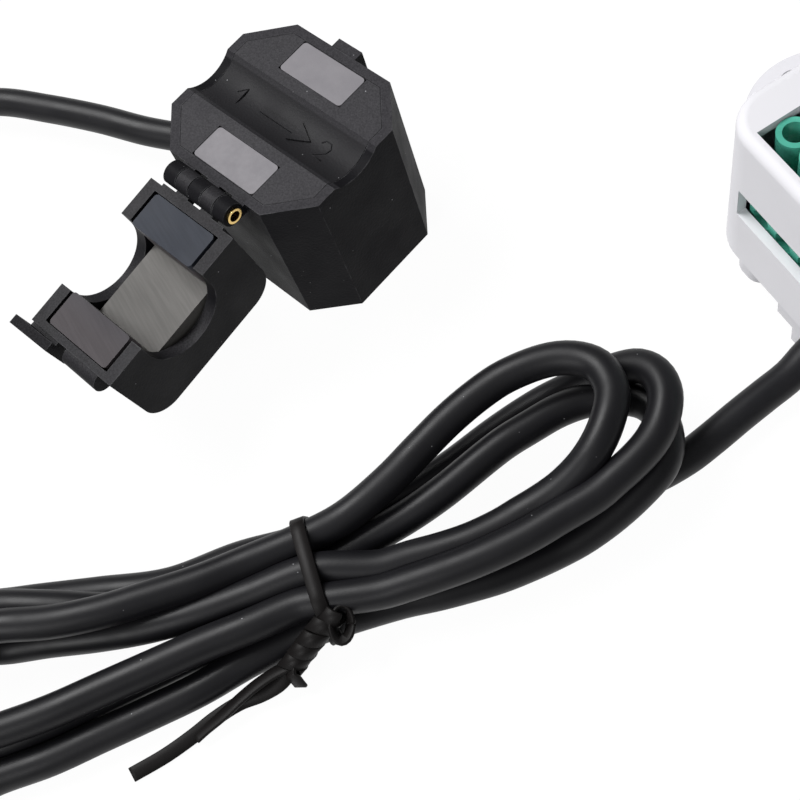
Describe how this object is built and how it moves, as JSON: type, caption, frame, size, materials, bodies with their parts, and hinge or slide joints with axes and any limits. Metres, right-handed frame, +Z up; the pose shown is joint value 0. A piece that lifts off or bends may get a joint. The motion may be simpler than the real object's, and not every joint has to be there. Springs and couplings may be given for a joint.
{
  "type": "smart energy monitor",
  "caption": "Wired energy monitor: a flanged wiring module with screw terminals, joined by a folded cord to a hinged split-core current clamp.",
  "frame": {"origin": "on the table, at the centre of the plan box round the module and the clamp, the cord left out", "axes": "+Z up from the table; +X from the module's wire wall into the module; +Y along its row of terminals"},
  "size_m": [0.1626, 0.1419, 0.0274],
  "materials": {
    "cover_white": "satin",
    "base_white": "matte",
    "button_white": "satin",
    "screw_steel": "satin",
    "board_green": "satin",
    "terminal_green": "satin",
    "tinned_metal": "satin",
    "black_plastic": "matte",
    "amber_plastic": "satin",
    "blue_sleeve": "gloss",
    "ceramic_white": "matte",
    "clear_plastic": "gloss",
    "lead_wire": "satin",
    "clamp_black": "fine grain",
    "core_grey": "ground",
    "pin_brass": "satin",
    "pad_foam": "matte",
    "cord_black": "satin",
    "tie_grey": "matte"
  },
  "bodies": {
    "monitor": {"module_cover": "cover_white", "module_base": "base_white", "case_screws": "screw_steel", "main_board": "board_green", "terminal_block": "terminal_green", "terminal_pins": "tinned_metal", "radio_board": "board_green", "radio_shield": "tinned_metal", "metering_chip": "black_plastic", "supply_converter": "amber_plastic", "storage_capacitor": "blue_sleeve", "surge_disc": "blue_sleeve", "fuse": "ceramic_white", "status_light": "clear_plastic", "light_pipe": "clear_plastic", "press_switch": "black_plastic", "module_leads": "lead_wire", "clamp_body": "clamp_black", "face_plate": "clamp_black", "body_core": "core_grey", "coil_bobbin": "base_white", "coil_winding": "lead_wire", "coil_leads": "lead_wire", "hinge_pin": "pin_brass", "cord_module_run": "cord_black", "cord_hank": "cord_black", "cord_clamp_run": "cord_black", "twist_tie": "tie_grey"},
    "jaw": {"jaw_shell": "clamp_black", "jaw_core": "core_grey", "jaw_pad": "pad_foam"},
    "button": {"push_button": "button_white", "switch_plunger": "base_white"},
    "screw_1": {"terminal_screw_1": "screw_steel"},
    "cage_1": {"wire_cage_1": "tinned_metal"},
    "screw_2": {"terminal_screw_2": "screw_steel"},
    "cage_2": {"wire_cage_2": "tinned_metal"},
    "screw_3": {"terminal_screw_3": "screw_steel"},
    "cage_3": {"wire_cage_3": "tinned_metal"},
    "screw_4": {"terminal_screw_4": "screw_steel"},
    "cage_4": {"wire_cage_4": "tinned_metal"},
    "screw_5": {"terminal_screw_5": "screw_steel"},
    "cage_5": {"wire_cage_5": "tinned_metal"},
    "screw_6": {"terminal_screw_6": "screw_steel"},
    "cage_6": {"wire_cage_6": "tinned_metal"},
    "screw_7": {"terminal_screw_7": "screw_steel"},
    "cage_7": {"wire_cage_7": "tinned_metal"},
    "screw_8": {"terminal_screw_8": "screw_steel"},
    "cage_8": {"wire_cage_8": "tinned_metal"}
  },
  "joints": [
    {"name": "jaw_hinge", "type": "hinge", "parent": "monitor", "child": "jaw", "pos_m": [-0.03229, 0.03397, 0.0222], "axis": [-0.2924, 0.9563, 0], "range_deg": [0, 188]},
    {"name": "button_press", "type": "slide", "parent": "monitor", "child": "button", "axis": [0, 0, -1], "range_m": [0, 0.0005], "stiffness_N_per_m": 2500},
    {"name": "screw_turn_1", "type": "hinge", "parent": "monitor", "child": "screw_1", "pos_m": [0.02147, -0.02911, 0.021], "axis": [0, 0, -1], "range_deg": [0, 1152]},
    {"name": "cage_lift_1", "type": "slide", "parent": "monitor", "child": "cage_1", "axis": [0, 0, 1], "range_m": [0, 0.0016]},
    {"name": "screw_turn_2", "type": "hinge", "parent": "monitor", "child": "screw_2", "pos_m": [0.02147, -0.02531, 0.021], "axis": [0, 0, -1], "range_deg": [0, 1152]},
    {"name": "cage_lift_2", "type": "slide", "parent": "monitor", "child": "cage_2", "axis": [0, 0, 1], "range_m": [0, 0.0016]},
    {"name": "screw_turn_3", "type": "hinge", "parent": "monitor", "child": "screw_3", "pos_m": [0.02147, -0.0215, 0.021], "axis": [0, 0, -1], "range_deg": [0, 1152]},
    {"name": "cage_lift_3", "type": "slide", "parent": "monitor", "child": "cage_3", "axis": [0, 0, 1], "range_m": [0, 0.0016]},
    {"name": "screw_turn_4", "type": "hinge", "parent": "monitor", "child": "screw_4", "pos_m": [0.02147, -0.01768, 0.021], "axis": [0, 0, -1], "range_deg": [0, 1152]},
    {"name": "cage_lift_4", "type": "slide", "parent": "monitor", "child": "cage_4", "axis": [0, 0, 1], "range_m": [0, 0.0016]},
    {"name": "screw_turn_5", "type": "hinge", "parent": "monitor", "child": "screw_5", "pos_m": [0.02147, -0.01388, 0.021], "axis": [0, 0, -1], "range_deg": [0, 1152]},
    {"name": "cage_lift_5", "type": "slide", "parent": "monitor", "child": "cage_5", "axis": [0, 0, 1], "range_m": [0, 0.0016]},
    {"name": "screw_turn_6", "type": "hinge", "parent": "monitor", "child": "screw_6", "pos_m": [0.02147, -0.01006, 0.021], "axis": [0, 0, -1], "range_deg": [0, 1152]},
    {"name": "cage_lift_6", "type": "slide", "parent": "monitor", "child": "cage_6", "axis": [0, 0, 1], "range_m": [0, 0.0016]},
    {"name": "screw_turn_7", "type": "hinge", "parent": "monitor", "child": "screw_7", "pos_m": [0.02147, -0.00626, 0.021], "axis": [0, 0, -1], "range_deg": [0, 1152]},
    {"name": "cage_lift_7", "type": "slide", "parent": "monitor", "child": "cage_7", "axis": [0, 0, 1], "range_m": [0, 0.0016]},
    {"name": "screw_turn_8", "type": "hinge", "parent": "monitor", "child": "screw_8", "pos_m": [0.02147, -0.00245, 0.021], "axis": [0, 0, -1], "range_deg": [0, 1152]},
    {"name": "cage_lift_8", "type": "slide", "parent": "monitor", "child": "cage_8", "axis": [0, 0, 1], "range_m": [0, 0.0016]}
  ],
  "couplings": [
    {"joint": "screw_turn_1", "follows": "cage_lift_1", "rad_per_m": 12566},
    {"joint": "screw_turn_2", "follows": "cage_lift_2", "rad_per_m": 12566},
    {"joint": "screw_turn_3", "follows": "cage_lift_3", "rad_per_m": 12566},
    {"joint": "screw_turn_4", "follows": "cage_lift_4", "rad_per_m": 12566},
    {"joint": "screw_turn_5", "follows": "cage_lift_5", "rad_per_m": 12566},
    {"joint": "screw_turn_6", "follows": "cage_lift_6", "rad_per_m": 12566},
    {"joint": "screw_turn_7", "follows": "cage_lift_7", "rad_per_m": 12566},
    {"joint": "screw_turn_8", "follows": "cage_lift_8", "rad_per_m": 12566}
  ]
}
